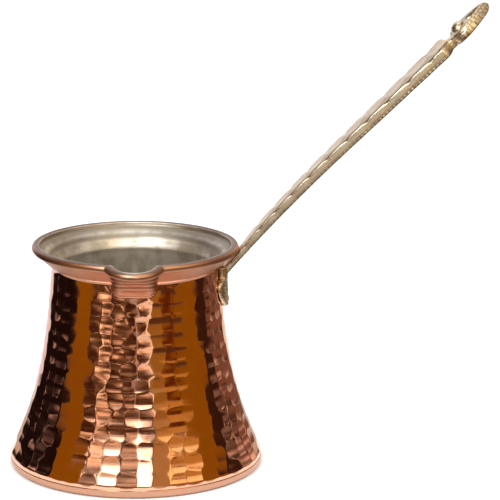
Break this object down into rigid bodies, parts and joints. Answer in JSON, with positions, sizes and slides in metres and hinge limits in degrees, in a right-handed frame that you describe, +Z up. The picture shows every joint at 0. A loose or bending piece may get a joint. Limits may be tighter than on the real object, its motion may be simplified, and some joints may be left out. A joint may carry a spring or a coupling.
{
  "type": "coffee pot",
  "caption": "Long-handled stovetop coffee pot of hammered copper, tinned inside, with a flared rim, a small pouring spout and a riveted cast brass handle.",
  "frame": {"origin": "centre of the base on its underside", "axes": "+Z up out of the mouth, +X along the handle's reach, -Y out of the pouring spout"},
  "size_m": [0.1689, 0.09, 0.1665],
  "materials": {
    "copper": "polished copper, hammered above a smooth satin base band",
    "tin": "soft wiped tin with turning rings",
    "brass": "pale cast brass with a polished relief",
    "rivet_brass": "peened and polished"
  },
  "bodies": {
    "root": {"copper_body": "copper", "tin_lining": "tin", "brass_handle": "brass", "rivet_left": "rivet_brass", "rivet_right": "rivet_brass", "rivet_lower": "rivet_brass"}
  },
  "joints": []
}
